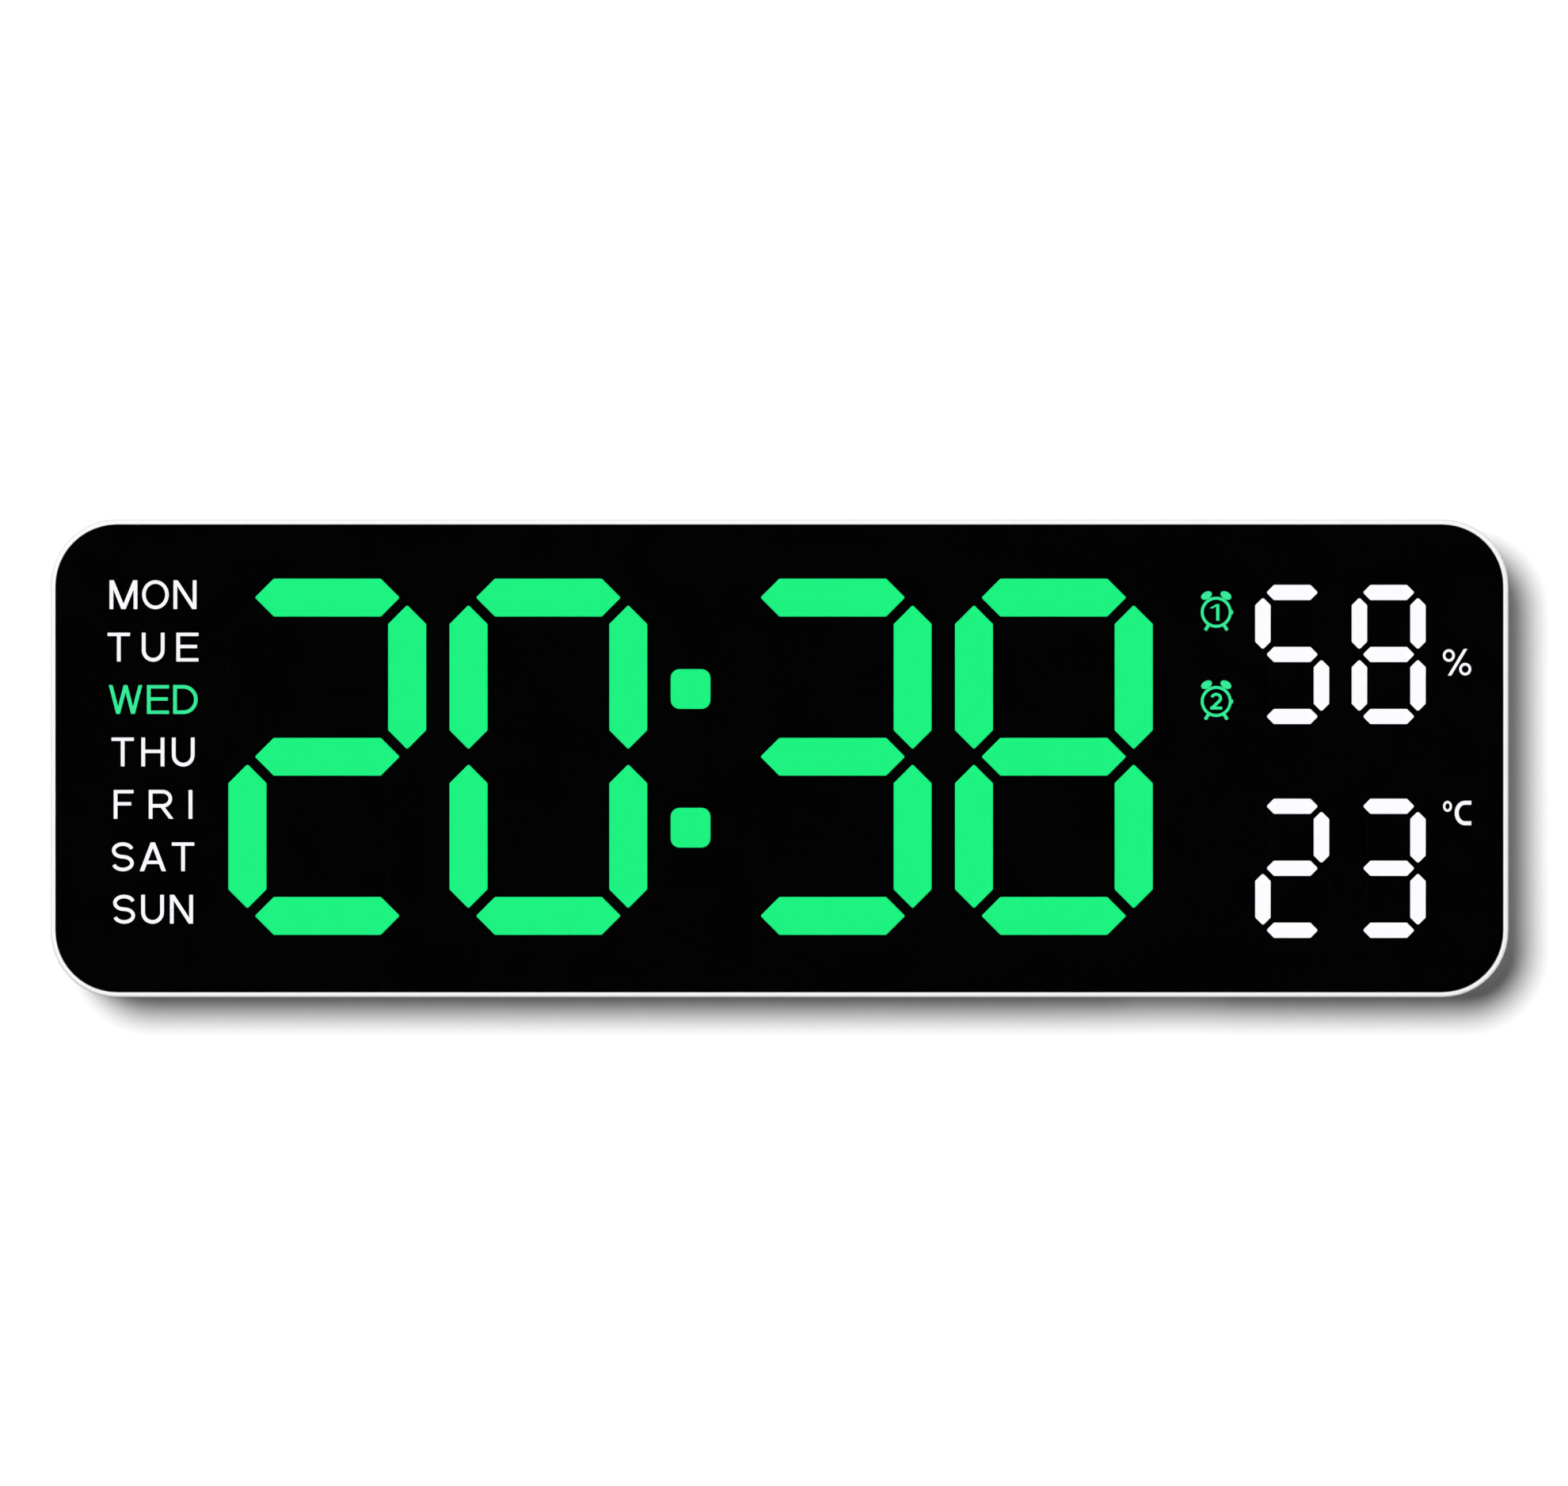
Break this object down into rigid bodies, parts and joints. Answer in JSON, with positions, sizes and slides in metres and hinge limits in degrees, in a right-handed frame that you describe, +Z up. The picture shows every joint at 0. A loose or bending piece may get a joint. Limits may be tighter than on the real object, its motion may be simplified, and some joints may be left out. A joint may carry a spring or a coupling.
{
  "type": "digital wall clock",
  "caption": "Slim white digital wall clock with a smoked lens, lit green digits, weekday words, humidity and temperature, rear buttons, a battery box and a fold-out stand.",
  "frame": {"origin": "middle of the footprint, on the underside of the case", "axes": "+Z up, +X to the right seen from the front, the display faces -Y"},
  "size_m": [0.228, 0.026, 0.0747],
  "materials": {
    "case_white": "satin moulded plastic",
    "lens_smoke": "polished smoked acrylic",
    "tape_black": "foam tape",
    "mask_black": "matt printed film",
    "reflector_grey": "matt moulded plastic",
    "segment_green": "lit light guide",
    "segment_white": "lit light guide",
    "segment_dark": "unlit tinted light guide",
    "board_green": "solder mask on glass-fibre board",
    "led_body": "phosphor in a white package",
    "chip_black": "moulded compound",
    "can_silver": "drawn can",
    "bright_metal": "nickel plating",
    "button_grey": "satin moulded plastic",
    "cell_wrap": "plain printed sleeve on a metal can",
    "socket_cream": "moulded connector housing",
    "lead_red": "wire insulation",
    "lead_black": "wire insulation",
    "rubber_black": "soft rubber"
  },
  "bodies": {
    "case": {"front_frame": "case_white", "rear_cover": "case_white", "climate_sensor": "case_white", "front_lens": "lens_smoke", "lens_tape": "tape_black", "display_mask": "mask_black", "reflector_block": "reflector_grey", "legend_diffusers": "reflector_grey", "hour_tens_segments": "segment_green", "hour_units_segments": "segment_green", "minute_tens_segments": "segment_green", "minute_units_segments": "segment_green", "colon_dots": "segment_green", "humidity_segments": "segment_white", "temperature_segments": "segment_white", "unlit_segments": "segment_dark", "main_board": "board_green", "inlet_board": "board_green", "time_leds": "led_body", "small_leds": "led_body", "controller_chip": "chip_black", "driver_chips": "chip_black", "buzzer": "chip_black", "resistors": "chip_black", "tact_switches": "chip_black", "socket_tongue": "chip_black", "crystal": "can_silver", "capacitors": "can_silver", "case_screws": "bright_metal", "board_screws": "bright_metal", "socket_shell": "bright_metal", "battery_contacts": "bright_metal", "battery_springs": "bright_metal", "stand_pin": "bright_metal", "battery_cells": "cell_wrap", "lead_socket": "socket_cream", "red_leads": "lead_red", "black_leads": "lead_black"},
    "mode_button": {"mode_button": "button_grey", "mode_plunger": "chip_black"},
    "alarm_button": {"alarm_button": "button_grey", "alarm_plunger": "chip_black"},
    "up_button": {"up_button": "button_grey", "up_plunger": "chip_black"},
    "down_button": {"down_button": "button_grey", "down_plunger": "chip_black"},
    "battery_door": {"battery_door": "case_white"},
    "stand": {"stand_leg": "case_white", "stand_pads": "rubber_black"}
  },
  "joints": [
    {"name": "stand_swing", "type": "hinge", "parent": "case", "child": "stand", "pos_m": [0, 0.0105, 0.049], "axis": [1, 0, 0], "range_deg": [0, 30]},
    {"name": "battery_door_swing", "type": "hinge", "parent": "case", "child": "battery_door", "pos_m": [-0.057, 0.013, 0.0144], "axis": [-1, 0, 0], "range_deg": [0, 90]},
    {"name": "mode_button_press", "type": "slide", "parent": "case", "child": "mode_button", "axis": [0, -1, 0], "range_m": [0, 0.0005], "stiffness_N_per_m": 300},
    {"name": "alarm_button_press", "type": "slide", "parent": "case", "child": "alarm_button", "axis": [0, -1, 0], "range_m": [0, 0.0005], "stiffness_N_per_m": 300},
    {"name": "up_button_press", "type": "slide", "parent": "case", "child": "up_button", "axis": [0, -1, 0], "range_m": [0, 0.0005], "stiffness_N_per_m": 300},
    {"name": "down_button_press", "type": "slide", "parent": "case", "child": "down_button", "axis": [0, -1, 0], "range_m": [0, 0.0005], "stiffness_N_per_m": 300}
  ]
}
